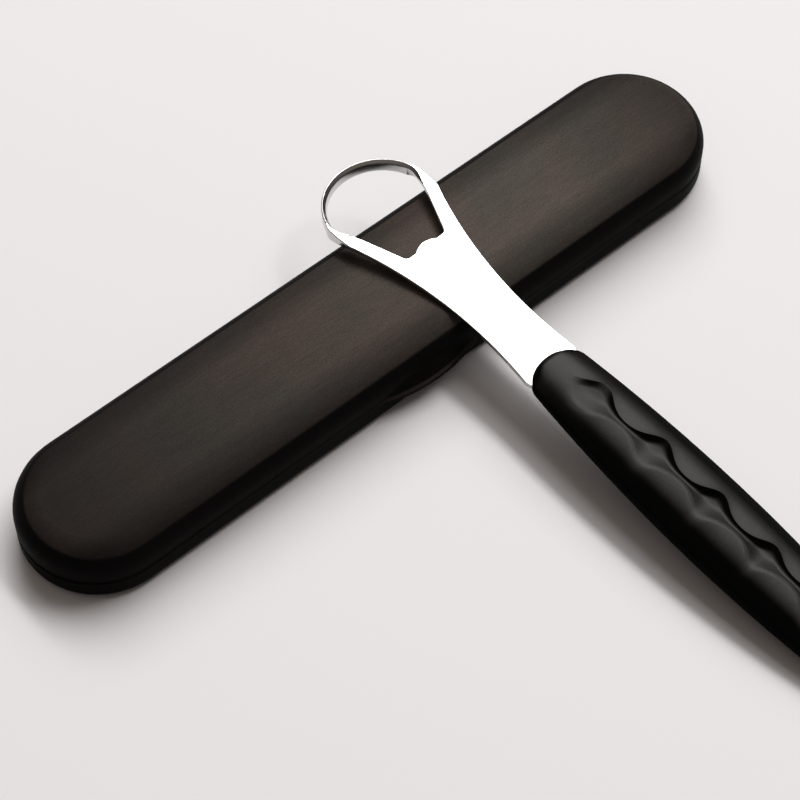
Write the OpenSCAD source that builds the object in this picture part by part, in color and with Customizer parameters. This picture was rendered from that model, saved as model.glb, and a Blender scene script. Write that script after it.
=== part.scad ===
// Tongue scraper with its hinged travel case, in millimetres.
// The case stands on z = 0 with its length along X, its thumb lip towards -Y
// and its hinge towards +Y. The scraper lies across the closed lid, with its
// plate on the lid's near edge and the end of its handle on the ground.

/* [Case] */
// Overall length of the case
case_len = 170; // [160:1:190]
// Overall width of the case
case_w = 32.5; // [31:0.5:40]
// Height of the bottom shell, from the ground to the parting line
base_h = 5.9; // [5.2:0.1:9]
// Height of the lid, from the parting line to its top
lid_h = 7.9; // [7:0.1:12]
// Wall thickness of both shells
wall = 1.6; // [1.3:0.1:2]
// Radius of the rounded top edge of the lid
top_round = 5.4; // [3:0.1:6]
// Radius of the rounded bottom edge of the base
foot_round = 2.5; // [1.8:0.1:3]
// Open line between the closed shells
part_gap = 0.1; // [0.05:0.05:0.2]
// Bevel on the outer edge of each shell at the parting line
part_bevel = 0.5; // [0.4:0.05:0.7]

/* [Thumb lip] */
// How far the crescent lip stands out of the near wall
lip_out = 2.1; // [1.5:0.1:3]
// Half of the lip's length along the wall
lip_half = 12.3; // [8:0.1:18]
// Place of the lip's middle along the case
lip_x = 1; // [-10:0.5:10]
// Thickness of the lip's straight edge, on the base
lip_t = 1.4; // [1:0.1:2]
// Height over which the base's lip runs back into its wall
lip_ramp_down = 2; // [1.2:0.1:2.4]
// Height over which the lid's lip runs back into its wall
lip_ramp_up = 4; // [3:0.1:5]

/* [Hinge] */
// Overall length of the three knuckles
hinge_len = 30; // [20:1:50]
// Length of the lid's middle knuckle
mid_knuckle_len = 11; // [8:0.5:16]
// Outer radius of the knuckles
knuckle_r = 1.5; // [1.3:0.05:1.8]
// Radius of the hinge pin
pin_r = 0.7; // [0.5:0.05:0.8]
// Radial clearance of the pin in its bores
pin_clear = 0.04; // [0.03:0.01:0.08]
// Distance of the hinge axis inside the far wall's outer face
hinge_inset = 0.2; // [0.1:0.05:0.4]
// Room between a knuckle and the shell it turns in
knuckle_clear = 0.25; // [0.15:0.05:0.4]
// Plug that closes each end of the pin's bore
pin_plug = 1.2; // [0.8:0.1:2]

/* [Catch] */
// Length of the catch rim inside the near wall
rim_len = 60; // [30:1:90]
// Thickness of the catch rim
rim_t = 0.9; // [0.7:0.1:1.2]
// Height of the catch rim above the parting line
rim_rise = 1.4; // [1:0.1:1.8]
// Depth of the catch rim's root below the parting line
rim_root = 2; // [1.5:0.1:2.5]
// Room between the catch rim and the lid's wall
rim_clear = 0.25; // [0.15:0.05:0.4]
// Length of the catch bead and of its groove
bead_len = 12; // [6:1:20]
// Radius of the catch bead
bead_r = 0.3; // [0.2:0.05:0.4]
// How far the catch bead stands out of its rim
bead_out = 0.12; // [0.08:0.02:0.15]

/* [Blade] */
// Thickness of the steel sheet
blade_t = 1; // [0.8:0.1:1.4]
// Outer radius of the loop's rim
loop_r = 12.1; // [11:0.1:13.5]
// Height of the loop's band
band_h = 2.8; // [2.2:0.1:3.6]
// Downward bend of the loop against the plate, in degrees
loop_bend = 8; // [2:0.5:12]
// Radius of the bend where an arm turns into the loop
turn_r = 4; // [3:0.1:5]
// Distance from the loop's centre to the line where it bends down
bend_x = 4.1; // [3:0.1:5]
// Length over which a strip twists from flat to upright
twist_len = 8.2; // [7:0.1:9]
// Distance from the loop's centre to the eye's floor
eye_x = 13.4; // [12.5:0.1:15]
// Half width of the eye at its floor
eye_half = 5.1; // [4.5:0.1:5.4]
// Splay of each arm from the blade's axis, in degrees
arm_splay = 21.9; // [20:0.1:24]
// Radius of the eye's two floor corners
eye_corner_r = 1.2; // [0.8:0.1:1.6]
// Height of the round bump in the eye's floor
bump_h = 1; // [0.5:0.1:1.2]
// Radius of the round bump in the eye's floor
bump_r = 4.6; // [4:0.1:6]
// Distance from the loop's centre to the blade's waist
waist_x = 37.4; // [35:0.1:40]
// Half width of the blade at its waist
waist_half = 5.85; // [5.4:0.05:6.2]
// Radius of the blade's long hollow sides
side_r = 96; // [90:1:105]
// Distance that the plate reaches into the mouth before it narrows to the tang
shoulder_in = 4; // [3:0.1:5]
// Radius of the plate's two shoulders inside the mouth
shoulder_r = 2.6; // [1.5:0.1:3]
// Width of the tang inside the handle
tang_w = 7; // [5:0.1:8]
// Length of the tang inside the core
tang_len = 50; // [30:1:60]

/* [Handle] */
// Distance from the loop's centre to the grip's mouth
grip_x = 47.6; // [45:0.1:50]
// Length of the grip
grip_len = 95; // [85:1:100]
// Half width of the grip at its widest
grip_half_w = 8.85; // [8:0.05:9.5]
// Half thickness of the grip at its thickest
grip_half_t = 5; // [4.4:0.05:5.1]
// Distance from the mouth to the grip's widest place
grip_swell_x = 46; // [40:0.5:52]
// Radius of the grip's bowed sides, from the swell to the mouth
front_bow_r = 417; // [380:1:600]
// Radius of the grip's bowed sides, from the swell to the end
back_bow_r = 342; // [310:1:600]
// Radius of the grip's bowed faces, from the swell to the mouth
front_bow_t_r = 450; // [420:1:700]
// Radius of the grip's bowed faces, from the swell to the end
back_bow_t_r = 700; // [600:1:900]
// Length of the rounded mouth
mouth_len = 4.6; // [3:0.1:6]
// Length of the rounded end
end_len = 8; // [6:0.1:10]
// Length of the pattern's first wave
wave_len = 16.9; // [15:0.1:19]
// Distance over which the waves would grow to half their number again
wave_close_len = 400; // [300:10:800]
// Height of the first wave to each side of its middle
wave_amp = 1.8; // [1:0.05:2]
// Distance over which the waves would calm down to a straight line
wave_calm_len = 127; // [110:1:300]
// Place of the wave's middle, beside the grip's axis
wave_mid = 1.85; // [0.5:0.05:2]
// Distance from the mouth to the first crest
wave_first = 13.5; // [12:0.1:16]
// Depth of the bowls at the crests
wave_depth = 1.3; // [0.6:0.05:1.5]
// Width of the step's slope
wave_step = 0.6; // [0.5:0.05:1]
// Distance from the mouth to the pattern's start
wave_start = 6; // [5:0.1:8]
// Run-out of the pattern at both ends of the grip
wave_fade = 6; // [5:0.5:12]
// Distance of the lobes' tops below the grip's axis
lobe_drop = 0.9; // [0.5:0.1:2]
// Radius of the lobes' rounded tops
lobe_r = 6.4; // [5:0.1:9]
// Distance before a lobe over which its edge runs out straight
lobe_lead = 20; // [15:1:30]
// Width over which a bowl reaches its full depth
bowl_reach = 7.5; // [6:0.1:10]
// Half width of the hard core
core_half_w = 5; // [4.6:0.1:5.4]
// Half thickness of the hard core
core_half_t = 2; // [1.6:0.1:2.2]
// Distance from the mouth to the core
core_x = 12; // [10:0.5:15]
// Length of the core
core_len = 70; // [60:1:74]

/* [How it lies] */
// Place of the blade's axis along the case, where it crosses the near edge
lay_x = 15.4; // [5:0.1:30]
// Distance from the loop's centre to the line where the plate rests
rest_x = 26.6; // [24:0.1:30]
// Turn of the scraper from square across the case, in degrees
lay_turn = 2.25; // [0:0.25:6]
// Gap between the plate and the lid that it rests on
rest_gap = 0.15; // [0.1:0.05:0.3]
// Gap between the handle and the ground
ground_gap = 0.2; // [0.1:0.05:0.4]

/* [Hidden] */

round_fn = 96;
over = 1;
shell_color = [0.17, 0.15, 0.14];
lid_color = [0.2, 0.18, 0.17];
steel_color = [0.85, 0.86, 0.87];
core_color = [0.3, 0.3, 0.32];
grip_color = [0.13, 0.12, 0.12];

// Derived sizes of the case
case_h = base_h + lid_h;
lid_z = base_h + part_gap;
case_r = case_w / 2;
case_half = case_len / 2 - case_r;
hinge_y = case_r - hinge_inset;
knuckle_gap = knuckle_clear;
side_knuckle_len = (hinge_len - mid_knuckle_len) / 2 - knuckle_gap;
bore_r = pin_r + pin_clear;
bore_len = hinge_len - 2 * pin_plug;
pin_len = bore_len - 2 * pin_clear;
lip_r = (lip_half * lip_half + lip_out * lip_out) / (2 * lip_out);
lip_y = lip_r - case_r - lip_out;
lip_root = wall / 2;
rim_y = -(case_r - wall - rim_clear);
bead_y = rim_y + bead_r - bead_out;
bead_z = base_h + rim_rise / 2;

// Derived places of the blade. The strip of each arm follows the eye's edge,
// rounds a small bend and runs on as the rim of the loop.
edge_turn = 90 - arm_splay;
edge_gap = eye_x * sin(arm_splay) + eye_half * cos(arm_splay);
bend_run = sqrt(pow(loop_r - turn_r, 2) - pow(edge_gap - turn_r, 2));
edge_foot = [edge_gap * cos(edge_turn), edge_gap * sin(edge_turn)];
bend_start = edge_foot + bend_run * [-cos(arm_splay), sin(arm_splay)];
bend_mid = bend_start - turn_r * [cos(edge_turn), sin(edge_turn)];
loop_turn = atan2(bend_mid[1], bend_mid[0]);
strip_inset = 0.04 * blade_t;
strip_root = 1.5 * blade_t;
strip_start_x = bend_x + strip_root;
strip_run = (strip_start_x - bend_start[0]) / cos(arm_splay);
bend_len = turn_r * (loop_turn - edge_turn) * PI / 180;
arm_w = (side_at(bend_x) - edge_at(bend_x)) * cos(arm_splay) - 2 * strip_inset;
arc_steps = 12;
run_steps = 12;
bend_steps = 8;
loop_steps = 30;
tang_x = grip_x + shoulder_in;
tang_end = grip_x + core_x + tang_len;

// Derived places of the grip
grip_end = grip_x + grip_len;
swell_x = grip_x + grip_swell_x;
grip_rings = 84;
squareness = 2.4;
flat_z = blade_t / 2;
// Shares of the half width, from the right edge over the wave's line to the left edge
land_shares = [0.98, 0.92, 0.8, 0.62, 0.42, 0.2, 0];
bowl_shares = [-0.22, -0.33, -0.44, -0.56, -0.68, -0.8, -0.91, -0.98];
max_shift_share = 0.42;
wave_skew_share = 0.32;
lobe_count = 4;

function smooth(t) = let (k = max(0, min(1, t))) k * k * (3 - 2 * k);

// Edge of the eye and outer side of the plate, at a distance from the loop's centre
function edge_at(x) = eye_half + (eye_x - x) * tan(arm_splay);
function side_at(x) = waist_half + side_r - sqrt(side_r * side_r - pow(waist_x - x, 2));

// Half width and half thickness of the grip
function bow(x, front_r, back_r) = pow(x - swell_x, 2) / (2 * (x < swell_x ? front_r : back_r));
function cap(depth, len) = depth >= len ? 1 : sqrt(max(0, 1 - pow((len - depth) / len, 2)));
function grip_w_at(x) = (grip_half_w - bow(x, front_bow_r, back_bow_r))
    * cap(x - grip_x, mouth_len) * cap(grip_end - x, end_len);
function grip_t_at(x) = (grip_half_t - bow(x, front_bow_t_r, back_bow_t_r))
    * cap(x - grip_x, mouth_len / 2) * cap(grip_end - x, end_len);

// How deep the resting scraper reaches below its contact with the lid, and
// the tilt at which the handle's end comes down to the ground
function reach(tilt) = max([for (k = [0:1:40]) let (x = swell_x + (grip_end - swell_x) * k / 40)
    (x - rest_x) * cos(lay_turn) * sin(tilt) + (grip_t_at(x) - flat_z) * cos(tilt)]);
function contact_z(tilt) = case_h - top_round + (top_round + rest_gap) * cos(tilt);
function settle(tilt, turns) = turns == 0 ? tilt
    : settle(tilt + asin((contact_z(tilt) - ground_gap - reach(tilt)) / grip_len), turns - 1);
lay_tilt = settle(5, 12);
contact_y = -(case_r - top_round) - (top_round + rest_gap) * sin(lay_tilt);

// A closed stadium: the half profile is swept round both ends and along the middle
module stadium()
{
    for (side = [-1, 1])
        translate([side * case_half, 0, 0])
            rotate([0, 0, -90 * side])
                rotate_extrude(angle = 180, $fn = round_fn)
                    children();
    rotate([90, 0, 90])
        linear_extrude(2 * case_half, center = true)
            union() {
                children();
                mirror([1, 0])
                    children();
            }
}

// Half profile of the base or its hollow: flat top, rounded lower corner
module tray_profile(half, low, high, corner)
{
    translate([0, low])
        square([half - corner, high - low]);
    translate([0, low + corner])
        square([half, high - low - corner]);
    translate([half - corner, low + corner])
        circle(corner, $fn = round_fn);
}

// Half profile of the lid or its hollow: flat bottom, rounded upper corner
module dome_profile(half, low, high, corner)
{
    intersection() {
        translate([0, low])
            square([half, high - low]);
        union() {
            translate([0, low - over])
                square([half - corner, high - low + over]);
            translate([0, low - over])
                square([half, high - low - corner + over]);
            translate([half - corner, high - corner])
                circle(corner, $fn = round_fn);
        }
    }
}

// Bevel at the parting line; way is 1 for the lid and -1 for the base
module bevel_profile(way)
{
    edge_z = way > 0 ? lid_z : base_h;
    polygon([
        [case_r - part_bevel, edge_z],
        [case_r + over, edge_z + way * (part_bevel + over)],
        [case_r + over, edge_z - way * over],
        [case_r - part_bevel, edge_z - way * over]
    ]);
}

// Block that keeps only the part of a round lip outside the near wall
module lip_zone(low, high)
{
    translate([lip_x - case_half, -case_r - lip_out - over, low])
        cube([2 * case_half, lip_out + over + lip_root, high - low]);
}

module base_lip()
{
    intersection() {
        translate([lip_x, lip_y, 0])
            union() {
                translate([0, 0, base_h - part_bevel])
                    cylinder(part_bevel, lip_r, lip_r - part_bevel, $fn = round_fn);
                translate([0, 0, base_h - lip_t])
                    cylinder(lip_t - part_bevel, r = lip_r, $fn = round_fn);
                translate([0, 0, base_h - lip_t - lip_ramp_down])
                    cylinder(lip_ramp_down, lip_r - lip_out - lip_root, lip_r, $fn = round_fn);
            }
        lip_zone(0, base_h);
    }
}

module lid_lip()
{
    intersection() {
        translate([lip_x, lip_y, lid_z])
            cylinder(lip_ramp_up, lip_r - part_bevel, lip_r - lip_out - lip_root, $fn = round_fn);
        lip_zone(lid_z, lid_z + lip_ramp_up);
    }
}

// A round bar along the hinge axis, centred on x
module hinge_bar(x, len, r)
{
    translate([x - len / 2, hinge_y, base_h])
        rotate([0, 90, 0])
            cylinder(len, r = r, $fn = round_fn);
}

module side_knuckles(extra_len, extra_r)
{
    for (side = [-1, 1])
        hinge_bar(side * (hinge_len - side_knuckle_len) / 2, side_knuckle_len + extra_len,
            knuckle_r + extra_r);
}

// Rim inside the near wall that keeps the closed lid in line, with its catch bead
module catch_rim()
{
    translate([-rim_len / 2, rim_y, base_h - rim_root])
        cube([rim_len, rim_t, rim_root + rim_rise]);
    translate([-rim_len / 2, rim_y - rim_clear - lip_root, base_h - rim_root])
        cube([rim_len, rim_clear + lip_root + rim_t, rim_root]);
    translate([-bead_len / 2, bead_y, bead_z])
        rotate([0, 90, 0])
            cylinder(bead_len, r = bead_r, $fn = round_fn);
}

module case_base()
{
    color(shell_color)
        difference() {
            union() {
                difference() {
                    stadium()
                        difference() {
                            tray_profile(case_r, 0, base_h, foot_round);
                            bevel_profile(-1);
                        }
                    stadium()
                        tray_profile(case_r - wall, wall, base_h + over, foot_round / 2);
                    hinge_bar(0, mid_knuckle_len + 2 * knuckle_gap, knuckle_r + knuckle_clear);
                }
                base_lip();
                catch_rim();
                side_knuckles(0, 0);
            }
            hinge_bar(0, bore_len, bore_r);
        }
}

module case_lid()
{
    color(lid_color)
        difference() {
            union() {
                difference() {
                    stadium()
                        difference() {
                            dome_profile(case_r, lid_z, case_h, top_round);
                            bevel_profile(1);
                        }
                    stadium()
                        dome_profile(case_r - wall, lid_z - over, case_h - wall, top_round - wall);
                    side_knuckles(2 * knuckle_gap, knuckle_clear);
                }
                lid_lip();
                hinge_bar(0, mid_knuckle_len, knuckle_r);
            }
            hinge_bar(0, mid_knuckle_len + over, bore_r);
            translate([-bead_len / 2 - rim_clear, bead_y, bead_z])
                rotate([0, 90, 0])
                    cylinder(bead_len + 2 * rim_clear, r = bead_r + rim_clear, $fn = round_fn);
        }
}

module hinge_pin()
{
    color(steel_color)
        hinge_bar(0, pin_len, pin_r);
}

// Puts a piece of the scraper, drawn round the loop's centre, across the lid
module laid()
{
    translate([lay_x, contact_y, contact_z(lay_tilt)])
        rotate([lay_tilt, 0, 0])
            rotate([0, 0, lay_turn - 90])
                translate([-rest_x, 0, 0])
                    children();
}

// Points along an arc
function arc(mid, r, from, to) = [for (k = [0:1:arc_steps]) let (turn = from + (to - from) * k / arc_steps)
    mid + r * [cos(turn), sin(turn)]];

// Outline of the eye between the arms, with the bump in its floor
module eye_outline()
{
    corner_x = eye_x - eye_corner_r;
    corner_y = edge_at(corner_x) - eye_corner_r / cos(arm_splay);
    bump_turn = acos(1 - bump_h / bump_r);
    far_x = bend_x - over;
    polygon(concat(
        [[far_x, edge_at(far_x)]],
        arc([corner_x, corner_y], eye_corner_r, edge_turn, 0),
        arc([eye_x - bump_h + bump_r, 0], bump_r, 180 - bump_turn, 180 + bump_turn),
        arc([corner_x, -corner_y], eye_corner_r, 0, -edge_turn),
        [[far_x, -edge_at(far_x)]]));
}

// Flat part of the blade: plate, both arms and tang
module plate_outline()
{
    shoulder_y = side_at(tang_x - shoulder_r) - shoulder_r;
    difference() {
        union() {
            translate([bend_x, -loop_r - over])
                square([tang_x - shoulder_r - bend_x, 2 * (loop_r + over)]);
            translate([tang_x - shoulder_r - over, -shoulder_y])
                square([shoulder_r + over, 2 * shoulder_y]);
            for (side = [-1, 1])
                translate([tang_x - shoulder_r, side * shoulder_y])
                    circle(shoulder_r, $fn = round_fn);
        }
        for (side = [-1, 1])
            translate([waist_x, side * (waist_half + side_r)])
                circle(side_r, $fn = 4 * round_fn);
        eye_outline();
    }
    translate([tang_x - over, -tang_w / 2])
        square([tang_end - tang_x + over, tang_w]);
}

module plate()
{
    linear_extrude(blade_t)
        plate_outline();
}

// Stations of the strip on one side: place, outward direction and run so far
function strip_half() = concat(
    [for (k = [0:1:run_steps]) let (run = strip_run * k / run_steps)
        [[strip_start_x - run * cos(arm_splay), edge_at(strip_start_x) + run * sin(arm_splay)],
            edge_turn, run]],
    [for (k = [1:1:bend_steps]) let (share = k / bend_steps, turn = edge_turn + (loop_turn - edge_turn) * share)
        [bend_mid + turn_r * [cos(turn), sin(turn)], turn, strip_run + bend_len * share]],
    [for (k = [1:1:loop_steps]) let (turn = loop_turn + (180 - loop_turn) * k / loop_steps)
        [loop_r * [cos(turn), sin(turn)], turn, strip_run + bend_len + twist_len]]);

// Four corners of the strip's section at one station; side is 1 or -1. Its root is
// a little smaller than the arm, so that it ends inside it.
function strip_corners(station, side) =
    let (x = station[0][0], turn = station[1],
        slope = x < bend_x ? loop_bend : 0,
        out = [cos(turn) * cos(slope), side * sin(turn), cos(turn) * sin(slope)],
        up = [-sin(slope), 0, cos(slope)],
        share = smooth((station[2] - strip_root) / twist_len),
        twist = 90 * share,
        w = arm_w + (band_h - arm_w) * share,
        inset = strip_inset * (1 - share),
        across = cos(twist) * out - sin(twist) * up,
        through = -cos(twist) * up - sin(twist) * out,
        edge = [x, side * station[0][1], blade_t - max(0, bend_x - x) * tan(slope)],
        rim = edge + inset * (across + through),
        t = blade_t - 2 * inset)
    [rim, rim + w * across, rim + w * across + t * through, rim + t * through];

module strip()
{
    half = strip_half();
    n = len(half);
    sections = concat(
        [for (k = [0:1:n - 1]) strip_corners(half[k], 1)],
        [for (k = [n - 2:-1:0]) strip_corners(half[k], -1)]);
    m = len(sections);
    points = [for (section = sections) for (corner = section) corner];
    sides = [for (k = [0:1:m - 2]) for (j = [0:1:3]) for (tri = [0, 1])
        let (a = 4 * k + j, b = 4 * k + (j + 1) % 4)
        tri == 0 ? [a, b + 4, b] : [a, a + 4, b + 4]];
    last = 4 * (m - 1);
    ends = [[1, 2, 3], [0, 1, 3], [last + 2, last + 1, last], [last + 3, last + 2, last]];
    polyhedron(points, concat(sides, ends), convexity = 8);
}

module blade()
{
    color(steel_color)
        laid()
            union() {
                plate();
                strip();
            }
}

// Hard bar inside the grip, with the tang's slot
module core_bar()
{
    translate([grip_x + core_x, 0, flat_z - core_half_t])
        linear_extrude(2 * core_half_t)
            union() {
                translate([core_half_w, -core_half_w])
                    square([core_len - 2 * core_half_w, 2 * core_half_w]);
                for (x = [core_half_w, core_len - core_half_w])
                    translate([x, 0])
                        circle(core_half_w, $fn = round_fn);
            }
}

module handle_core()
{
    color(core_color)
        laid()
            difference() {
                core_bar();
                plate();
            }
}

// Place of the wave's line beside the axis. Its crests are narrower than its troughs.
function wave_turn(x) = let (run = x - grip_x - wave_first) 360 * run / wave_len * (1 + run / wave_close_len);
function wave_at(x) = let (turn = wave_turn(x), run = x - grip_x - wave_first)
    wave_mid + wave_amp * (1 - run / wave_calm_len) * cos(turn + wave_skew_share * 180 / PI * sin(turn));

// A lobe stands at each trough. Its edge is round on top and runs out towards the mouth.
function trough_x(k) = grip_x + wave_first
    + wave_close_len / 2 * (sqrt(1 + 4 * (k + 0.5) * wave_len / wave_close_len) - 1);
function lobe_edge(x, k) = let (run = x - trough_x(k))
    -lobe_drop - run * run / (2 * lobe_r) / (1 + max(0, -run) / lobe_lead);
function lobes_at(x) = max([for (k = [0:1:lobe_count - 1]) lobe_edge(x, k)]);

// Depth of the bowls, which sink from the lobes' edges to the foot of the wave's step
function wave_sink(x, y) = wave_depth * sin(90 * max(0, min(1, (y - lobes_at(x)) / bowl_reach)))
    * smooth((x - grip_x - wave_start) / wave_fade) * smooth((grip_end - end_len - x) / wave_fade);

// One ring of the grip. Each face has a column of points that follows the wave's
// line and one at the foot of its step; the lower face is the upper one turned over.
function face_point(x, y, sink, side) =
    let (half = grip_w_at(x), thick = grip_t_at(x),
        z = thick * (pow(1 - pow(abs(y / half), squareness), 1 / squareness) - sink / grip_half_t))
    [x, side * y, flat_z + side * z];
function face_points(x, side) =
    let (half = grip_w_at(x), shift = min(max_shift_share, wave_at(x) / grip_half_w),
        foot = half * (shift - wave_step / grip_half_w))
    concat(
        [for (share = land_shares) face_point(x, half * (share + shift * (1 - share * share)), 0, side)],
        [face_point(x, foot, wave_sink(x, foot), side)],
        [for (share = bowl_shares) let (y = half * (share + shift * (1 - share * share)))
            face_point(x, y, wave_sink(x, y), side)]);
function grip_ring(x) = concat(
    [[x, grip_w_at(x), flat_z]],
    face_points(x, 1),
    [[x, -grip_w_at(x), flat_z]],
    face_points(x, -1));

module grip_body()
{
    side_count = 2 * (len(land_shares) + len(bowl_shares)) + 4;
    // Rings lie closer together in the rounded mouth and end
    places = concat(
        [for (k = [1:1:8]) grip_x + mouth_len * pow(k / 8, 2)],
        [for (k = [1:1:grip_rings]) grip_x + mouth_len + (grip_len - mouth_len - end_len) * k / grip_rings],
        [for (k = [1:1:9]) grip_end - end_len * pow(1 - k / 10, 2)]);
    rings = len(places);
    points = concat(
        [for (x = places) for (p = grip_ring(x)) p],
        [[grip_x, 0, flat_z], [grip_end, 0, flat_z]]);
    skin = [for (k = [0:1:rings - 2]) for (j = [0:1:side_count - 1]) for (tri = [0, 1])
        let (a = side_count * k + j, b = side_count * k + (j + 1) % side_count)
        tri == 0 ? [a, a + side_count, b + side_count] : [a, b + side_count, b]];
    last = side_count * (rings - 1);
    tips = [for (j = [0:1:side_count - 1]) for (tip = [0, 1]) let (next = (j + 1) % side_count)
        tip == 0 ? [side_count * rings, j, next] : [side_count * rings + 1, last + next, last + j]];
    polyhedron(points, concat(skin, tips), convexity = 6);
}

module grip()
{
    color(grip_color)
        laid()
            difference() {
                grip_body();
                core_bar();
                plate();
            }
}

case_base();
case_lid();
hinge_pin();
blade();
handle_core();
grip();
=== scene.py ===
"""Looks of the tongue scraper and its travel case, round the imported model.

All sizes are in metres, in the model's own frame: the case stands on z = 0 with
its length along X, and the scraper lies across it. The scraper's own frame has the
loop's centre as origin, x towards the handle and z up from the plate's underside.
"""

import math

import bmesh
import bpy
from mathutils import Matrix, Vector


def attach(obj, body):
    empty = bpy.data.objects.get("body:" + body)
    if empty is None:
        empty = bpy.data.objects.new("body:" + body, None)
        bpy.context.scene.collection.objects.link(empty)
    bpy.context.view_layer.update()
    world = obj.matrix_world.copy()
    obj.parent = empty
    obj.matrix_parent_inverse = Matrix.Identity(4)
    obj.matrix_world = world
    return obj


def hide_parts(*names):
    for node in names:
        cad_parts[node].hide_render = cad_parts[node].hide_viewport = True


MM = 0.001

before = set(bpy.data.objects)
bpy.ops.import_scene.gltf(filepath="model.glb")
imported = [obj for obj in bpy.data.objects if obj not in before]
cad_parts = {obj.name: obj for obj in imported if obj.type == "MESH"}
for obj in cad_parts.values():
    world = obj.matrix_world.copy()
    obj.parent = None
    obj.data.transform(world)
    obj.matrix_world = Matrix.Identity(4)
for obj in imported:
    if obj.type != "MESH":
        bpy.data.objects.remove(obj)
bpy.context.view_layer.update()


# Camera, worked out from the outlines in the photograph

VIEW_TURN = math.radians(-40.3)
VIEW_RISE = math.radians(56.69)
VIEW_AIM = Vector((-3.11, -11.49, -7.07)) * MM
VIEW_DISTANCE = 515.6 * MM
FOCAL_PX = 2542.15
IMAGE_PX = 800
SENSOR = 36.0
CLIP_NEAR = 10 * MM
CLIP_FAR = 20.0


def add_camera():
    """Looks at VIEW_AIM, turned and raised from the case's front."""
    turn, rise = VIEW_TURN, VIEW_RISE
    back = Vector((math.sin(turn) * math.cos(rise), -math.cos(turn) * math.cos(rise), math.sin(rise)))
    right = Vector((math.cos(turn), math.sin(turn), 0))
    up = back.cross(right)
    data = bpy.data.cameras.new("camera")
    data.sensor_width = SENSOR
    data.lens = FOCAL_PX / IMAGE_PX * SENSOR
    data.clip_start = CLIP_NEAR
    data.clip_end = CLIP_FAR
    camera = bpy.data.objects.new("camera", data)
    axes = Matrix((right, up, back)).transposed()
    camera.matrix_world = Matrix.Translation(VIEW_AIM + back * VIEW_DISTANCE) @ axes.to_4x4()
    bpy.context.scene.collection.objects.link(camera)
    bpy.context.scene.camera = camera


# Sizes of the case, as in the model

CASE_R = 16.25 * MM
CASE_H = 13.8 * MM
TOP_ROUND = 5.4 * MM

# Sizes of the blade, as in the model

BLADE_T = 1.0 * MM
LOOP_R = 12.1 * MM
BAND_H = 2.8 * MM
LOOP_BEND = math.radians(8)
TURN_R = 4.0 * MM
BEND_X = 4.1 * MM
EYE_X = 13.4 * MM
EYE_HALF = 5.1 * MM
ARM_SPLAY = math.radians(21.9)
EYE_CORNER_R = 1.2 * MM
BUMP_H = 1.0 * MM
BUMP_R = 4.6 * MM
WAIST_X = 37.4 * MM
WAIST_HALF = 5.85 * MM
SIDE_R = 96.0 * MM
TANG_HALF = 3.5 * MM
SHOULDER_R = 2.6 * MM
SHOULDER_X = 51.6 * MM
TANG_END = 109.6 * MM

# Finer form of the blade: the fold of its arms, the bevel and the rounded edges

FOLD_START = 1.0 * MM
FOLD_LEN = 7.6 * MM
NARROW_POWER = 1.35
DROP_SHARE = 0.85
FOLD_ROUND = 0.26 * MM
FOLD_ROUND_SHARE = 1 / 3
EDGE_ROUND = 0.16 * MM
FLAT_MARGIN = 0.1 * MM
RIM_FLAT = 0.3 * MM
RIM_BEVEL = math.radians(42)
BEVEL_SHARE = 0.6
BEND_EASE = 1.0 * MM
SHOULDER_STOP = 0.1
ARC_MIDDLE_SHARE = 0.3

# Place of the cut between the flat plate and the folded strips

CUT_X = 6.5 * MM

# Points of the blade's mesh

EYE_SIDE_POINTS = 5
EYE_SIDE_STEP = 1.0 * MM
EYE_FLOOR_YS = (3.4 * MM, 3.1 * MM)
ROUND_STEPS = 4
SIDE_STEPS = 60
CORNER_STEPS = 10
BUMP_STEPS = 12
ARM_STEPS = 36
BEND_STEPS = 16
LOOP_STEPS = 72
BLADE_SHARP = math.radians(40)

# Sizes of the handle, as in the model

GRIP_X = 47.6 * MM
GRIP_LEN = 95.0 * MM
GRIP_HALF_W = 8.85 * MM
GRIP_HALF_T = 5.0 * MM
SWELL_X = GRIP_X + 46.0 * MM
GRIP_END = GRIP_X + GRIP_LEN
FRONT_BOW_R = 417.0 * MM
BACK_BOW_R = 342.0 * MM
FRONT_BOW_T_R = 450.0 * MM
BACK_BOW_T_R = 700.0 * MM
MOUTH_LEN = 4.6 * MM
END_LEN = 8.0 * MM
SQUARENESS = 2.4
WAVE_LEN = 16.9 * MM
WAVE_CLOSE_LEN = 400.0 * MM
WAVE_AMP = 1.8 * MM
WAVE_CALM_LEN = 127.0 * MM
WAVE_SKEW = 0.32
WAVE_MID = 1.85 * MM
WAVE_FIRST = GRIP_X + 13.5 * MM
WAVE_DEPTH = 1.3 * MM
LOBE_DROP = 0.9 * MM
LOBE_R = 6.4 * MM
LOBE_LEAD = 20.0 * MM
LOBE_COUNT = 4

# Finer form of the handle: its flanks, the wave's lip and step, and the bowls' edges

FLANK_SHARE = 0.588
FLANK_HEIGHT_SHARE = 0.88
FLANK_SLOPE_SHARE = 1.42
FLANK_BLEND_SHARE = 0.06
WAVE_START = GRIP_X + 5.6 * MM
WAVE_FADE = 4.0 * MM
WAVE_STEP = 1.8 * MM
LIP_RISE = 0.12 * MM
LIP_LEN = 0.7 * MM
BOWL_REACH = 5.0 * MM
PINCH_GAP = 2.2 * MM
PINCH_REACH = 2.5 * MM
PINCH_STEP = 0.8 * MM
LOBE_BLEND = 0.7 * MM
FIRST_BOWL_X = GRIP_X + 12.7 * MM
FIRST_BOWL_R = 4.5 * MM
FIRST_SOFT_SHARE = 0.4
FIRST_SOFT_LEN = 4.0 * MM
CREASE_DEPTH = 0.06 * MM
CREASE_HALF = 0.24 * MM
CREASE_SHARP = 0.16 * MM
CREASE_SOFT = 1.9 * MM
TAIL_START = 2.0 * MM
TAIL_LEN = 4.5 * MM
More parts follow.
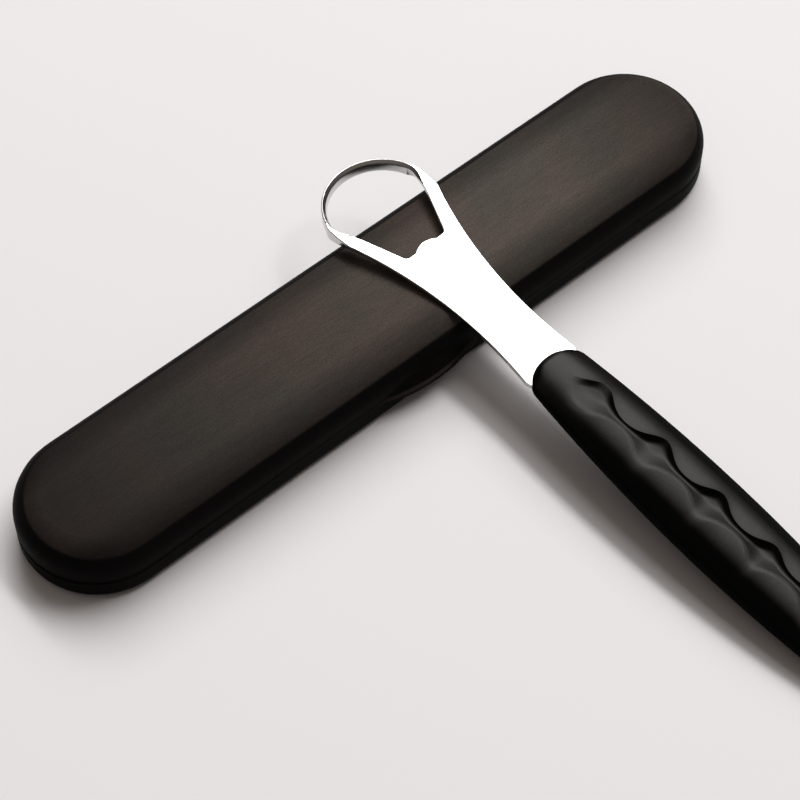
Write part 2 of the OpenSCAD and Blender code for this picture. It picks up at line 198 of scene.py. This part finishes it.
HEAD_START = 4.6 * MM
HEAD_LEN = 3.4 * MM
FOOT_START = 5.6 * MM
FOOT_LEN = 2.6 * MM

# Points of the handle's mesh

GRIP_RINGS = 320
END_RINGS = 24
FACE_COLUMNS = 64
CROWD_POWER = 1.7
RIM_SHARE = 0.98
GRIP_SHARP = math.radians(60)

# How the scraper lies, as in the model

LAY_X = 15.4 * MM
REST_X = 26.6 * MM
LAY_TURN = math.radians(2.25)
REST_GAP = 0.15 * MM
GROUND_GAP = 0.2 * MM

# Search for its tilt

TILT_GUESS = math.radians(5)
TILT_ROUNDS = 12
CONTACT_STEPS = 40


def smooth(t):
    """Rises from 0 to 1 with a soft start and end."""
    t = min(1.0, max(0.0, t))
    return t * t * (3 - 2 * t)


def edge_at(x):
    """Half width of the eye at x."""
    return EYE_HALF + (EYE_X - x) * math.tan(ARM_SPLAY)


def side_at(x):
    """Half width of the plate at x."""
    return WAIST_HALF + SIDE_R - math.sqrt(SIDE_R**2 - (WAIST_X - x) ** 2)


def cap(depth, length):
    """Share of the full size at a depth inside a rounded end."""
    return 1.0 if depth >= length else math.sqrt(max(0.0, 1 - ((length - depth) / length) ** 2))


def bowed(x, size, front_r, back_r, mouth):
    """Half size of the handle at x: full at the swell, bowed towards both rounded ends."""
    bow_r = front_r if x < SWELL_X else back_r
    return (size - (x - SWELL_X) ** 2 / (2 * bow_r)) * cap(x - GRIP_X, mouth) * cap(GRIP_END - x, END_LEN)


def grip_w_at(x):
    return bowed(x, GRIP_HALF_W, FRONT_BOW_R, BACK_BOW_R, MOUTH_LEN)


def grip_t_at(x):
    return bowed(x, GRIP_HALF_T, FRONT_BOW_T_R, BACK_BOW_T_R, MOUTH_LEN / 2)


def lay_matrix():
    """Place of the scraper's own frame: its plate on the lid, its handle's end on the ground."""
    steps = CONTACT_STEPS
    places = [SWELL_X + (GRIP_END - SWELL_X) * k / steps for k in range(steps + 1)]
    tilt = TILT_GUESS
    for _ in range(TILT_ROUNDS):
        contact_z = CASE_H - TOP_ROUND + (TOP_ROUND + REST_GAP) * math.cos(tilt)
        reach = max(
            (x - REST_X) * math.cos(LAY_TURN) * math.sin(tilt)
            + (grip_t_at(x) - BLADE_T / 2) * math.cos(tilt)
            for x in places
        )
        tilt += math.asin((contact_z - GROUND_GAP - reach) / GRIP_LEN)
    contact_z = CASE_H - TOP_ROUND + (TOP_ROUND + REST_GAP) * math.cos(tilt)
    contact_y = -(CASE_R - TOP_ROUND) - (TOP_ROUND + REST_GAP) * math.sin(tilt)
    return (
        Matrix.Translation((LAY_X, contact_y, contact_z))
        @ Matrix.Rotation(tilt, 4, "X")
        @ Matrix.Rotation(LAY_TURN - math.pi / 2, 4, "Z")
        @ Matrix.Translation((-REST_X, 0, 0))
    )


LAY = lay_matrix()

# Meshes

SHARP = math.radians(35)
MERGE_DISTANCE = 0.001 * MM


def add_mesh(name, points, faces, matrix=None, sharp=SHARP):
    """A smooth-shaded mesh, with the edges above the sharp angle left sharp."""
    mesh = bpy.data.meshes.new(name)
    mesh.from_pydata([tuple(p) for p in points], [], faces)
    bm = bmesh.new()
    bm.from_mesh(mesh)
    bmesh.ops.remove_doubles(bm, verts=bm.verts, dist=MERGE_DISTANCE)
    bmesh.ops.recalc_face_normals(bm, faces=bm.faces)
    bm.to_mesh(mesh)
    bm.free()
    if matrix is not None:
        mesh.transform(matrix)
    mesh.polygons.foreach_set("use_smooth", [True] * len(mesh.polygons))
    mesh.set_sharp_from_angle(angle=sharp)
    obj = bpy.data.objects.new(name, mesh)
    bpy.context.scene.collection.objects.link(obj)
    return obj


# Blade


def edge_profile():
    """Inset from the outline and drop from the top face, from the top face round to the underside."""
    steps = [(EDGE_ROUND + FLAT_MARGIN, 0.0)]
    for k in range(ROUND_STEPS + 1):
        turn = math.pi / 2 * k / ROUND_STEPS
        steps.append((EDGE_ROUND * (1 - math.sin(turn)), EDGE_ROUND * (1 - math.cos(turn))))
    return steps + [(inset, BLADE_T - drop) for inset, drop in reversed(steps)]


def arc(mid, radius, start, end, steps):
    """Points of a round stretch between two angles."""
    return [
        Vector((mid[0] + radius * math.cos(a), mid[1] + radius * math.sin(a)))
        for a in (start + (end - start) * k / steps for k in range(steps + 1))
    ]


ARM_GUESS = 2.7 * MM
ARM_ROUNDS = 20


def arm_width(x):
    """Width of an arm, square to the eye's edge, where that edge is at x."""
    width = ARM_GUESS
    for _ in range(ARM_ROUNDS):
        width = (side_at(x + width * math.sin(ARM_SPLAY)) - edge_at(x)) / math.cos(ARM_SPLAY)
    return width


def plate_chains():
    """Outlines of the flat plate: round the outside by the tang, and round the eye."""
    cut_w = arm_width(CUT_X)
    first_x = CUT_X + cut_w * math.sin(ARM_SPLAY)
    last_x = SHOULDER_X - SHOULDER_R
    xs = [first_x + (last_x - first_x) * k / SIDE_STEPS for k in range(SIDE_STEPS + 1)]
    side = [Vector((x, side_at(x))) for x in xs]
    shoulder_mid = (last_x, side_at(last_x) - SHOULDER_R)
    side += arc(shoulder_mid, SHOULDER_R, math.pi / 2, SHOULDER_STOP, CORNER_STEPS)[1:]
    side += [Vector((SHOULDER_X, TANG_HALF)), Vector((TANG_END, TANG_HALF))]
    outer = side + [Vector((p.x, -p.y)) for p in reversed(side)]

    corner_x = EYE_X - EYE_CORNER_R
    corner_y = edge_at(corner_x) - EYE_CORNER_R / math.cos(ARM_SPLAY)
    edge_turn = math.pi / 2 - ARM_SPLAY
    bump_turn = math.acos(1 - BUMP_H / BUMP_R)
    eye_xs = [CUT_X + k * EYE_SIDE_STEP for k in range(EYE_SIDE_POINTS)]
    half = [Vector((x, edge_at(x))) for x in eye_xs]
    half += arc((corner_x, corner_y), EYE_CORNER_R, edge_turn, 0, CORNER_STEPS)
    half += [Vector((EYE_X, y)) for y in EYE_FLOOR_YS]
    half += arc((EYE_X - BUMP_H + BUMP_R, 0), BUMP_R, math.pi - bump_turn, math.pi, BUMP_STEPS)
    inner = half + [Vector((p.x, -p.y)) for p in reversed(half[:-1])]
    return outer, inner


def chain_rings(chain, inward):
    """Offsets an open outline by the edge profile; inward is 1 where the metal lies on its left."""
    profile = edge_profile()
    rows = []
    for k, point in enumerate(chain):
        before = chain[max(0, k - 1)]
        after = chain[min(len(chain) - 1, k + 1)]
        ahead = (after - before).normalized()
        into = Vector((-ahead.y, ahead.x)) * inward
        if k in (0, len(chain) - 1):
            # At the arms' cuts, square to the eye's edge on both outlines
            into = Vector((math.sin(ARM_SPLAY), math.copysign(math.cos(ARM_SPLAY), point.y))) * inward
        rows.append([Vector((*(point + into * inset), BLADE_T - drop)) for inset, drop in profile])
    return rows


def corner(across, down, radius, start):
    """A rounded corner of the strip's section, a quarter turn back from the start angle."""
    turns = [start - math.pi / 2 * k / ROUND_STEPS for k in range(ROUND_STEPS + 1)]
    return [(across + radius * math.cos(turn), down + radius * math.sin(turn)) for turn in turns]


def near_side(inner, under, bevel):
    """The eye's side of the strip's section, from the bevel down to the underside."""
    room = min(1.0, under / (EDGE_ROUND + FLAT_MARGIN))
    profile = edge_profile()
    half = len(profile) // 2
    near = [(inner + inset, down) for inset, down in profile[:half]]
    near.insert(0, (max(near[0][0], bevel), 0.0))
    near = [(across, down + math.tan(RIM_BEVEL) * max(0.0, bevel - across)) for across, down in near]
    return near + [(inner + inset * room, max(down, near[-1][1])) for inset, down in profile[half:]]


def far_side(width, height, inside, outside, margin):
    """The outer side of the strip's section: under the flat part, down the fold, and up its back."""
    thick = width - BLADE_T
    foot = min(EDGE_ROUND, (height - BLADE_T) / 2)
    middle = inside * ARC_MIDDLE_SHARE
    far = [(thick - inside, BLADE_T), (thick - middle, BLADE_T + middle), (thick, BLADE_T + inside)]
    far += corner(thick + foot, height - foot, foot, math.pi)
    far += corner(width - EDGE_ROUND, height - EDGE_ROUND, EDGE_ROUND, math.pi / 2)
    far += corner(width - outside, outside, outside, 0)
    return far + [(width - outside - margin, 0.0)]


def strip_section(x, run):
    """Points round the strip's section, as places across and down from the eye's upper edge.

    The outer part of each arm is folded down. The fold widens up to the loop, where
    all of the strip stands on edge. Its upper edge is bevelled towards the eye.
    """
    way = min(1.0, max(0.0, (run - FOLD_START) / FOLD_LEN))
    share = way**NARROW_POWER
    width = arm_width(max(x, BEND_X)) * (1 - share)
    height = BLADE_T + (BAND_H - BLADE_T) * smooth(way / DROP_SHARE)
    inner = -BLADE_T * share
    under = width - inner - BLADE_T
    bevel = inner + (BLADE_T - RIM_FLAT) * smooth(way / BEVEL_SHARE)
    inside = min(FOLD_ROUND, under / 2, (height - BLADE_T) / 2)
    outside = EDGE_ROUND + (FOLD_ROUND - EDGE_ROUND) * smooth(way / FOLD_ROUND_SHARE)
    margin = FLAT_MARGIN * (1 - share)
    return near_side(inner, under, bevel) + far_side(width, height, inside, outside, margin)


def section_ring(station, side):
    """The strip's section at a station, on one side of the blade."""
    (x, y), turn, run = station
    bend = LOOP_BEND * smooth((BEND_X + BEND_EASE - x) / (2 * BEND_EASE))
    fall = max(0.0, BEND_X - x) * math.tan(LOOP_BEND)
    along = math.cos(turn)
    out = Vector((along * math.cos(bend), side * math.sin(turn), along * math.sin(bend)))
    up = Vector((-math.sin(bend), 0, math.cos(bend)))
    edge = Vector((x, side * y, BLADE_T - fall))
    return [edge + out * across - up * down for across, down in strip_section(x, run)]


def strip_stations():
    """Places along the eye's edge, the small bend and the loop's rim, up to its front.

    Each station has a place, the direction that points out of the loop, and its run
    along the fold.
    """
    edge_turn = math.pi / 2 - ARM_SPLAY
    gap = EYE_X * math.sin(ARM_SPLAY) + EYE_HALF * math.cos(ARM_SPLAY)
    run_to_bend = math.sqrt((LOOP_R - TURN_R) ** 2 - (gap - TURN_R) ** 2)
    foot = Vector((gap * math.cos(edge_turn), gap * math.sin(edge_turn)))
    start = foot + run_to_bend * Vector((-math.cos(ARM_SPLAY), math.sin(ARM_SPLAY)))
    mid = start - TURN_R * Vector((math.cos(edge_turn), math.sin(edge_turn)))
    loop_turn = math.atan2(mid.y, mid.x)
    zero = (BEND_X - CUT_X) / math.cos(ARM_SPLAY)
    length = (CUT_X - start.x) / math.cos(ARM_SPLAY)
    stations = []
    for k in range(ARM_STEPS + 1):
        run = length * k / ARM_STEPS
        x = CUT_X - run * math.cos(ARM_SPLAY)
        stations.append(((x, edge_at(x)), edge_turn, run + zero))
    bend_len = TURN_R * (loop_turn - edge_turn)
    for k in range(1, BEND_STEPS + 1):
        turn = edge_turn + (loop_turn - edge_turn) * k / BEND_STEPS
        place = (mid.x + TURN_R * math.cos(turn), mid.y + TURN_R * math.sin(turn))
        stations.append((place, turn, length + zero + bend_len * k / BEND_STEPS))
    for k in range(1, LOOP_STEPS + 1):
        turn = loop_turn + (math.pi - loop_turn) * k / LOOP_STEPS
        stations.append(((LOOP_R * math.cos(turn), LOOP_R * math.sin(turn)), turn, FOLD_START + FOLD_LEN))
    return stations


def add_blade():
    """The steel part: a flat plate between two outlines, and one strip for both arms and the loop."""
    points = []
    faces = []

    def put(rows):
        """Adds rows of points; gives the first one's number, a row's length and the count."""
        first = len(points)
        width = len(rows[0])
        for row in rows:
            points.extend(row)
        return first, width, len(rows)

    def skin(first, width, count, closed):
        """Joins each row to the next."""
        for k in range(count - 1):
            for j in range(width if closed else width - 1):
                a = first + k * width + j
                b = first + k * width + (j + 1) % width
                faces.append((a, b, b + width, a + width))

    outer, inner = plate_chains()
    outer_at = put(chain_rings(outer, -1))
    skin(*outer_at, closed=False)
    inner_at = put(chain_rings(inner, 1))
    skin(*inner_at, closed=False)
    for j in (0, outer_at[1] - 1):
        rim = [outer_at[0] + k * outer_at[1] + j for k in range(outer_at[2])]
        eye = [inner_at[0] + k * inner_at[1] + j for k in range(inner_at[2])]
        faces.append(tuple(rim + eye[::-1]))

    stations = strip_stations()
    rows = [section_ring(s, 1) for s in stations] + [section_ring(s, -1) for s in reversed(stations[:-1])]
    skin(*put(rows), closed=True)
    return add_mesh("blade_polished", points, faces, LAY, BLADE_SHARP)


# Grip


def wave_at(x):
    """Place of the wave's line beside the axis."""
    run = x - WAVE_FIRST
    turn = math.tau * run / WAVE_LEN * (1 + run / WAVE_CLOSE_LEN)
    return WAVE_MID + WAVE_AMP * (1 - run / WAVE_CALM_LEN) * math.cos(turn + WAVE_SKEW * math.sin(turn))


def trough_x(k):
    """Place along the handle of the wave's trough number k."""
    return WAVE_FIRST + WAVE_CLOSE_LEN / 2 * (math.sqrt(1 + 4 * (k + 0.5) * WAVE_LEN / WAVE_CLOSE_LEN) - 1)


TROUGHS = [trough_x(k) for k in range(LOBE_COUNT)]


def soft_drop(first, second, blend):
    """How far a soft-edged minimum of two values lies below the lower one."""
    return blend * math.log1p(math.exp(-abs(first - second) / blend))


def lobes_at(x):
    """Place of the lobes' soft-joined edges: one lobe stands at each trough of the wave."""
    edges = []
    for trough in TROUGHS:
        run = x - trough
        edges.append(-LOBE_DROP - run**2 / (2 * LOBE_R) / (1 + max(0.0, -run) / LOBE_LEAD))
    top = max(edges)
    return top + LOBE_BLEND * math.log(sum(math.exp((edge - top) / LOBE_BLEND) for edge in edges))


def softness(x, y):
    """How soft a bowl's edge is: sharp over a lobe's top, soft down its tail."""
    run = min((x - trough for trough in TROUGHS), key=abs)
    tails = max(smooth((run - TAIL_START) / TAIL_LEN), smooth((-run - HEAD_START) / HEAD_LEN))
    first = FIRST_SOFT_SHARE + (1 - FIRST_SOFT_SHARE) * smooth((x - FIRST_BOWL_X) / FIRST_SOFT_LEN)
    return max(tails * first, smooth((-y - FOOT_START) / FOOT_LEN))


def relief(x, y):
    """Height of the handle's pattern above its plain bowed face."""
    fade = smooth((x - WAVE_START) / WAVE_FADE) * smooth((GRIP_END - END_LEN - x) / WAVE_FADE)
    left = wave_at(x) - y
    if left <= 0:
        return LIP_RISE * fade * math.exp(left / LIP_LEN)
    inside = y - lobes_at(x)
    first = FIRST_BOWL_R - math.hypot(min(0.0, x - FIRST_BOWL_X), y)
    inside = min(inside, first) - soft_drop(inside, first, LOBE_BLEND)
    soft = softness(x, y)
    width = CREASE_SHARP + (CREASE_SOFT - CREASE_SHARP) * soft
    depth = (inside + math.hypot(inside, width)) / 2
    pinch = math.exp(-(((wave_at(x) - lobes_at(x)) / PINCH_GAP) ** 2))
    reach = BOWL_REACH + (PINCH_REACH - BOWL_REACH) * pinch
    sink = WAVE_DEPTH * math.sin(math.pi / 2 * min(1.0, depth / reach))
    crease = CREASE_DEPTH * (1 - soft) * math.exp(-((inside / CREASE_HALF) ** 2))
    rise = min(1.0, left / (WAVE_STEP + (PINCH_STEP - WAVE_STEP) * pinch))
    step = 1 - (1 - rise) ** 2
    return fade * (LIP_RISE * (1 - step) - (sink + crease) * step)


def face_height(across):
    """Share of the plain face's height at a share of the half width: rounded, with slanted flanks."""
    across = abs(across)
    crown = max(0.0, 1 - across**SQUARENESS) ** (1 / SQUARENESS)
    flank = FLANK_HEIGHT_SHARE - (across - FLANK_SHARE) * FLANK_SLOPE_SHARE
    drop = soft_drop(crown, flank, FLANK_BLEND_SHARE) * min(1.0, crown / FLANK_HEIGHT_SHARE)
    return max(0.0, min(crown, flank) - drop)


def face_places(x, half):
    """Places across one face, closer together at the wave's edge and at the rims."""
    line = wave_at(x) / GRIP_HALF_W
    places = []
    for k in range(1, 2 * FACE_COLUMNS):
        t = 1 - k / FACE_COLUMNS
        spread = abs(t) ** CROWD_POWER
        share = line + (1 - line) * spread if t > 0 else line - (1 + line) * spread
        if abs(share) > RIM_SHARE:
            share = math.sin(share * math.pi / 2)
        places.append(share * half)
    return places


def add_grip():
    """The soft outer layer, in rings along the handle, with its pattern on both faces."""
    xs = [GRIP_X + MOUTH_LEN * (k / END_RINGS) ** 2 for k in range(1, END_RINGS + 1)]
    body = GRIP_LEN - MOUTH_LEN - END_LEN
    xs += [GRIP_X + MOUTH_LEN + body * k / GRIP_RINGS for k in range(1, GRIP_RINGS + 1)]
    xs += [GRIP_END - END_LEN * (1 - k / END_RINGS) ** 2 for k in range(1, END_RINGS)]
    rows = []
    for x in xs:
        half = grip_w_at(x)
        thick = grip_t_at(x)
        ring = []
        for side in (1, -1):
            ring.append(Vector((x, side * half, BLADE_T / 2)))
            for y in face_places(x, half):
                z = thick * face_height(y / half) + relief(x, y) * min(1.0, thick / GRIP_HALF_T)
                ring.append(Vector((x, side * y, BLADE_T / 2 + side * z)))
        rows.append(ring)
    width = len(rows[0])
    points = [p for ring in rows for p in ring]
    faces = []
    for k in range(len(rows) - 1):
        for j in range(width):
            a = k * width + j
            b = k * width + (j + 1) % width
            faces.append((a, b, b + width, a + width))
    for tip_x, first in ((GRIP_X, 0), (GRIP_END, (len(rows) - 1) * width)):
        tip = len(points)
        points.append(Vector((tip_x, 0, BLADE_T / 2)))
        faces += [(tip, first + j, first + (j + 1) % width) for j in range(width)]
    return add_mesh("grip_moulded", points, faces, LAY, GRIP_SHARP)


# Materials

STEEL_COLOR = (0.60, 0.598, 0.585)
CORE_COLOR = (0.02, 0.02, 0.02)
FLOOR_COLOR = (0.80, 0.785, 0.788)

# Grain, patches and wiping marks of the blacks

GRAIN_SCALE = 2600
GRAIN_LOW = 0.66
PATCH_SCALE = 55
PATCH_DETAIL = 4
PATCH_EDGES = (0.38, 0.62)
MARKS_DETAIL = 4
MARKS_LOW = 0.82
SPECK_EDGES = (0.3, 0.7)

# Brushing of the steel

BRUSH_SCALE = 120
BRUSH_DETAIL = 3
BRUSH_STRETCH = (3, 0.5, 1)
BRUSH_SHARES = (0.93, 1.07)


def new_material(name, color, roughness, metallic=0.0, specular=0.5):
    """A plain material, with the tree and the shader that its detail is added to."""
    material = bpy.data.materials.new(name)
    material.use_nodes = True
    shader = material.node_tree.nodes["Principled BSDF"]
    shader.inputs["Base Color"].default_value = (*color, 1)
    shader.inputs["Roughness"].default_value = roughness
    shader.inputs["Metallic"].default_value = metallic
    shader.inputs["Specular IOR Level"].default_value = specular
    return material, material.node_tree, shader


def add_node(tree, kind, **values):
    """A node with its sockets and settings filled in by name."""
    node = tree.nodes.new(kind)
    for key, value in values.items():
        if key in node.inputs:
            node.inputs[key].default_value = value
        else:
            setattr(node, key, value)
    return node


def add_noise(tree, scale, detail, stretch=(1, 1, 1)):
    """Noise in the object's own space; a small stretch draws it out along that axis."""
    where = add_node(tree, "ShaderNodeTexCoord")
    mapping = add_node(tree, "ShaderNodeMapping", Scale=stretch)
    noise = add_node(tree, "ShaderNodeTexNoise", Scale=scale, Detail=detail)
    tree.links.new(where.outputs["Object"], mapping.inputs["Vector"])
    tree.links.new(mapping.outputs["Vector"], noise.inputs["Vector"])
    return noise


def add_ramp(tree, source, low, high, start=0.35, end=0.65, smooth_ends=False):
    """A value that goes from low to high while the source goes from start to end."""
    ramp = add_node(tree, "ShaderNodeMapRange")
    ramp.inputs["From Min"].default_value = start
    ramp.inputs["From Max"].default_value = end
    ramp.inputs["To Min"].default_value = low
    ramp.inputs["To Max"].default_value = high
    if smooth_ends:
        ramp.interpolation_type = "SMOOTHSTEP"
    tree.links.new(source, ramp.inputs["Value"])
    return ramp.outputs["Result"]


def add_bump(tree, shader, source, strength, distance):
    """Fine relief in the shading."""
    bump = add_node(tree, "ShaderNodeBump", Strength=strength, Distance=distance)
    tree.links.new(source, bump.inputs["Height"])
    tree.links.new(bump.outputs["Normal"], shader.inputs["Normal"])


def mix_colors(tree, factor, first, second):
    """A blend of two colours, each a plain value or a node's output."""
    mix = add_node(tree, "ShaderNodeMix", data_type="RGBA")
    sockets = [socket for socket in mix.inputs if socket.type == "RGBA"]
    for socket, color in zip(sockets, (first, second)):
        if isinstance(color, tuple):
            socket.default_value = (*color, 1)
        else:
            tree.links.new(color, socket)
    tree.links.new(factor, mix.inputs[0])
    return next(socket for socket in mix.outputs if socket.type == "RGBA")


def painted_light_and_sheen_faces(tree, low, high, lean):
    """1 on the surfaces that lie flat, 0 on the flanks; the lean is towards the front. It places the
    painted light and the faces' extra sheen.
    """
    where = add_node(tree, "ShaderNodeTexCoord")
    upright = add_node(tree, "ShaderNodeVectorMath", operation="DOT_PRODUCT")
    upright.inputs[1].default_value = (0, -math.sin(lean), math.cos(lean))
    tree.links.new(where.outputs["Normal"], upright.inputs[0])
    either = add_node(tree, "ShaderNodeMath", operation="ABSOLUTE")
    tree.links.new(upright.outputs["Value"], either.inputs[0])
    return add_ramp(tree, either.outputs["Value"], 0, 1, low, high, smooth_ends=True)


def level_along(tree, axis, start, end, low):
    """A level that rises from low to 1 between two places along an axis of the object."""
    where = add_node(tree, "ShaderNodeTexCoord")
    parts = add_node(tree, "ShaderNodeSeparateXYZ")
    tree.links.new(where.outputs["Object"], parts.inputs["Vector"])
    return add_ramp(tree, parts.outputs[axis], low, 1, start, end)


def multiply(tree, values):
    """The product of several nodes' outputs."""
    product = values[0]
    for value in values[1:]:
        node = add_node(tree, "ShaderNodeMath", operation="MULTIPLY")
        tree.links.new(product, node.inputs[0])
        tree.links.new(value, node.inputs[1])
        product = node.outputs["Value"]
    return product


def black_material(name, clean, painted_light_greys, faces, roughness, shine, marks, painted_light_fades=()):
    """Matt black with painted light: the faces that lie flat are painted a patchy lighter grey,
    as where the light falls on them, and they get more sheen than the flanks.

    worn holds the two greys of that painted light, faces the range of painted_light_and_sheen_faces and
    its lean, shine the sheen of the flanks and of the faces, marks the scale and stretch of the wiping
    marks in the grey, and each of the fades an axis, two places and a level, as level_along
    takes them; the fades shape where the painted light lies.
    """
    middle = tuple((a + b) / 2 for a, b in zip(*painted_light_greys))
    material, tree, shader = new_material(name, middle, sum(roughness) / 2, specular=sum(shine) / 2)
    painted_light_and_sheen_mask = painted_light_and_sheen_faces(tree, *faces)
    grain = add_noise(tree, GRAIN_SCALE, detail=2).outputs["Fac"]
    patches = add_noise(tree, PATCH_SCALE, PATCH_DETAIL).outputs["Fac"]
    marks_scale, marks_stretch = marks
    wiped = add_noise(tree, marks_scale, MARKS_DETAIL, marks_stretch).outputs["Fac"]
    # Painted light: a patchy grey on the flat faces, broken by the grain and the wiping marks, and shaped
    # by the fades
    painted_light_levels = [painted_light_and_sheen_mask, add_ramp(tree, grain, 1, GRAIN_LOW, *SPECK_EDGES)]
    painted_light_levels.append(add_ramp(tree, wiped, 1, MARKS_LOW, *SPECK_EDGES))
    painted_light_levels += [level_along(tree, *values) for values in painted_light_fades]
    painted_light_haze = mix_colors(tree, add_ramp(tree, patches, 0, 1, *PATCH_EDGES), *painted_light_greys)
    color = mix_colors(tree, multiply(tree, painted_light_levels), clean, painted_light_haze)
    tree.links.new(color, shader.inputs["Base Color"])
    tree.links.new(add_ramp(tree, patches, *roughness), shader.inputs["Roughness"])
    tree.links.new(add_ramp(tree, painted_light_and_sheen_mask, *shine, 0, 1), shader.inputs["Specular IOR Level"])
    add_bump(tree, shader, grain, strength=0.12, distance=0.05 * MM)
    return material


def case_material():
    """The case's plastic, with a painted highlight: a grey painted on its flat faces, greyest along the
    middle of them, right of the centre.
    """
    clean = (0.0047, 0.0042, 0.004)
    # The two greys of the painted highlight
    painted_light_greys = ((0.112, 0.086, 0.073), (0.096, 0.084, 0.072))
    faces = (0.755, 0.845, math.radians(9))
    roughness = (0.42, 0.48)
    shine = (0.012, 0.02)
    marks = (1500, (0.16, 1, 1))
    # The painted highlight fades towards both ends and both sides of the case
    painted_light_fades = [("X", -76 * MM, 25 * MM, 0.20), ("X", 80 * MM, 45 * MM, 0.40)]
    painted_light_fades += [("Y", side * 11 * MM, side * 6.5 * MM, 0.5) for side in (-1, 1)]
    return black_material("case_plastic", clean, painted_light_greys, faces, roughness, shine, marks, painted_light_fades)


def grip_material():
    """The handle's soft rubber, with painted light: its flat faces are painted grey where its flanks stay
    black, and they have more sheen than its flanks.
    """
    clean = (0.003, 0.0028, 0.0026)
    # The two greys of the painted light on the handle's faces
    painted_light_greys = ((0.0275, 0.0252, 0.0233), (0.034, 0.0318, 0.0295))
    faces = (0.80, 0.985, 0)
    roughness = (0.38, 0.42)
    shine = (0.005, 0.16)
    marks = (330, (1, 0.6, 1))
    return black_material("grip_rubber", clean, painted_light_greys, faces, roughness, shine, marks)


def steel_material(name, roughness):
    """Polished steel with a faint brushing."""
    material, tree, shader = new_material(name, STEEL_COLOR, roughness, metallic=1.0)
    brush = add_noise(tree, BRUSH_SCALE, BRUSH_DETAIL, BRUSH_STRETCH).outputs["Fac"]
    rough = add_ramp(tree, brush, *(roughness * share for share in BRUSH_SHARES))
    tree.links.new(rough, shader.inputs["Roughness"])
    add_bump(tree, shader, brush, strength=0.02, distance=0.02 * MM)
    return material


def core_material():
    """Hard moulded plastic with a fine grain."""
    material, tree, shader = new_material("core_plastic", CORE_COLOR, roughness=0.5)
    grain = add_noise(tree, scale=900, detail=2).outputs["Fac"]
    add_bump(tree, shader, grain, strength=0.2, distance=0.05 * MM)
    return material


def paint(obj, material):
    obj.data.materials.clear()
    obj.data.materials.append(material)


# Light and floor

KEY_FROM = Vector((0.48, 0.29, 0.83))
KEY_DISTANCE = 2.0
KEY_SIZE = (0.29, 2.6)
KEY_POWER = 27.8
SOFT_DISTANCE = 2.1
SOFT_SIZE = (1.5, 2.9)
SOFT_POWER = 28.7
ROOM_COLOR = (1, 0.87, 0.79, 1)
ROOM_SIDES = 0.04
ROOM_TOP = 0.30
FLOOR_HALF = 3.0


def add_floor():
    corners = ((-1, -1), (1, -1), (1, 1), (-1, 1))
    floor = add_mesh("floor", [(FLOOR_HALF * x, FLOOR_HALF * y, 0) for x, y in corners], [(0, 1, 2, 3)])
    paint(floor, new_material("floor_paint", FLOOR_COLOR, roughness=0.6, specular=0.1)[0])


def add_panel(name, way, distance, size, power):
    """A soft light that looks at the origin, with its second side along Y."""
    data = bpy.data.lights.new(name, "AREA")
    data.shape = "RECTANGLE"
    data.size, data.size_y = size
    data.energy = power
    panel = bpy.data.objects.new(name, data)
    back = way.normalized()
    across = Vector((0, 1, 0)).cross(back).normalized()
    turn = Matrix((across, back.cross(across), back)).transposed()
    panel.matrix_world = Matrix.Translation(back * distance) @ turn.to_4x4()
    bpy.context.scene.collection.objects.link(panel)


def add_world():
    """A dim room round the lamps: dark at its sides, brighter towards its ceiling."""
    world = bpy.data.worlds.new("world")
    bpy.context.scene.world = world
    world.use_nodes = True
    tree = world.node_tree
    sky = tree.nodes["Background"]
    sky.inputs["Color"].default_value = ROOM_COLOR
    where = add_node(tree, "ShaderNodeTexCoord")
    parts = add_node(tree, "ShaderNodeSeparateXYZ")
    tree.links.new(where.outputs["Generated"], parts.inputs["Vector"])
    height = add_ramp(tree, parts.outputs["Z"], 0, 1, 0, 1)
    level = add_ramp(tree, multiply(tree, [height, height]), ROOM_SIDES, ROOM_TOP, 0, 1)
    tree.links.new(level, sky.inputs["Strength"])


# The scene

add_camera()
bpy.context.scene.view_settings.view_transform = "Standard"

blade = add_blade()
paint(blade, steel_material("blade_steel", roughness=0.20))
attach(blade, "scraper")
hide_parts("blade")

grip = add_grip()
paint(grip, grip_material())
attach(grip, "scraper")
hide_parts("grip")

shell = case_material()
for node in ("case_base", "case_lid"):
    paint(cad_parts[node], shell)
paint(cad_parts["hinge_pin"], steel_material("pin_steel", roughness=0.3))
paint(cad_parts["handle_core"], core_material())

add_floor()
add_panel("key", KEY_FROM, KEY_DISTANCE, KEY_SIZE, KEY_POWER)
add_panel("soft", KEY_FROM, SOFT_DISTANCE, SOFT_SIZE, SOFT_POWER)
add_world()
